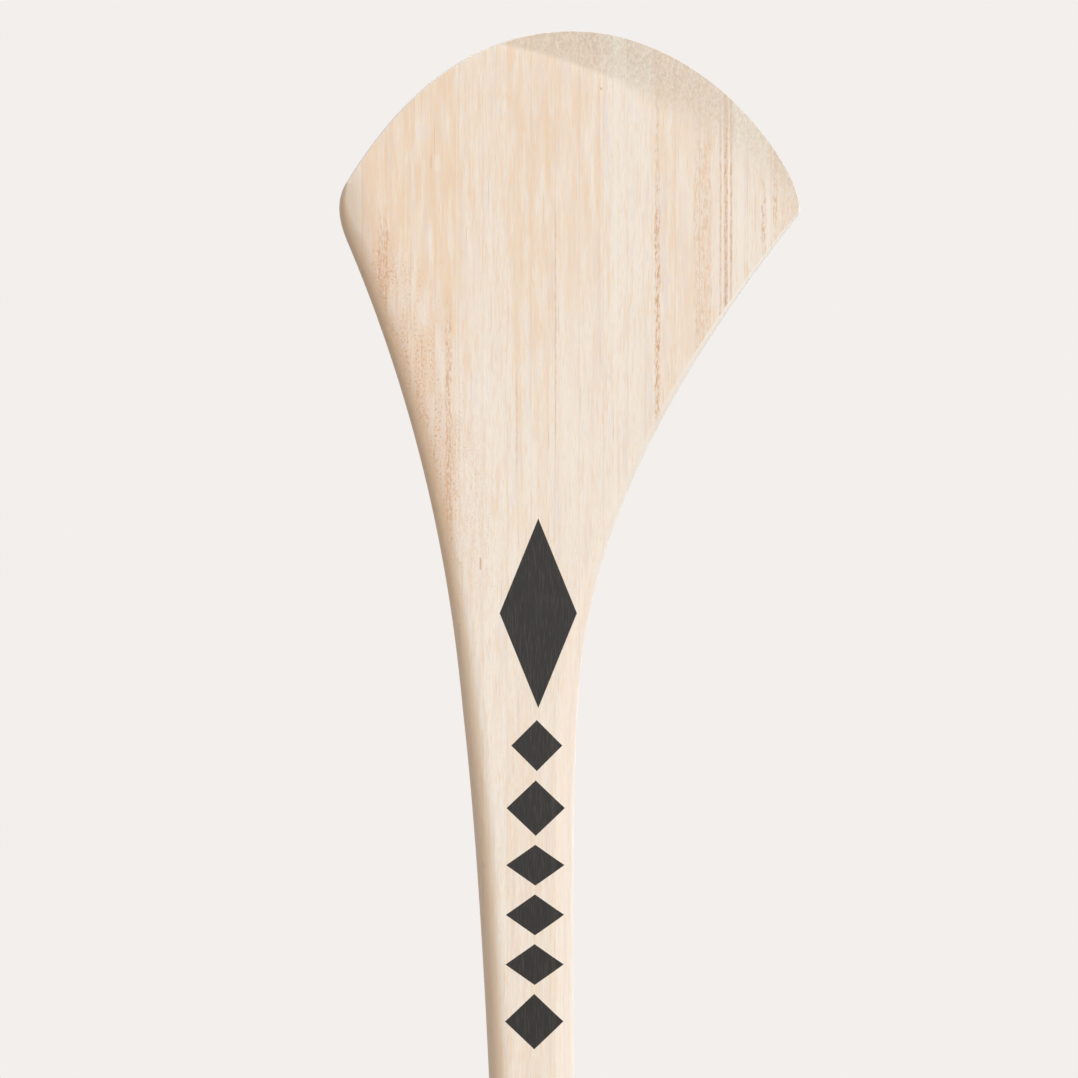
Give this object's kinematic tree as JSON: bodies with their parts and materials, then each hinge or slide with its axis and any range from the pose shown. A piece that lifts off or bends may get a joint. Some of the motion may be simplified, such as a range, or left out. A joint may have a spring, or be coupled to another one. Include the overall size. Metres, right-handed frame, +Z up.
{
  "type": "hurley",
  "caption": "Hurley with a broad curved bas and a slim shaft cut from glued bamboo strips, and a taped handle that ends in a hook.",
  "frame": {"origin": "middle of the handle's axis on the flat face of the butt", "axes": "+Z up the handle to the tip of the bas, +X towards the toe of the bas, -Y out of the printed face"},
  "size_m": [0.1269, 0.028, 0.889],
  "materials": {
    "bamboo_pale": "satin lacquer, pale cream bamboo",
    "bamboo_honey": "satin lacquer, honey bamboo",
    "bamboo_peach": "satin lacquer, peach bamboo",
    "grip_tape": "matte white wound grip tape",
    "finish_band": "smooth white finishing tape",
    "butt_pad": "matte cool white tape folded over the butt"
  },
  "bodies": {
    "root": {"butt_pad": "butt_pad", "finish_band": "finish_band", "grip_tape": "grip_tape", "hook_wrap": "grip_tape", "strip_01": "bamboo_peach", "strip_02": "bamboo_peach", "strip_03": "bamboo_honey", "strip_04": "bamboo_honey", "strip_05": "bamboo_honey", "strip_05_hook": "bamboo_honey", "strip_06": "bamboo_pale", "strip_06_hook": "bamboo_pale", "strip_07": "bamboo_pale", "strip_07_hook": "bamboo_pale", "strip_08": "bamboo_honey", "strip_08_hook": "bamboo_honey", "strip_09": "bamboo_honey", "strip_10": "bamboo_peach", "strip_11": "bamboo_peach", "strip_11_handle": "bamboo_peach", "strip_12": "bamboo_pale", "strip_12_handle": "bamboo_pale", "strip_13": "bamboo_pale", "strip_13_handle": "bamboo_pale", "strip_14": "bamboo_honey", "strip_15": "bamboo_peach", "strip_16": "bamboo_peach", "strip_17": "bamboo_pale", "strip_18": "bamboo_pale", "strip_19": "bamboo_peach"}
  },
  "joints": []
}
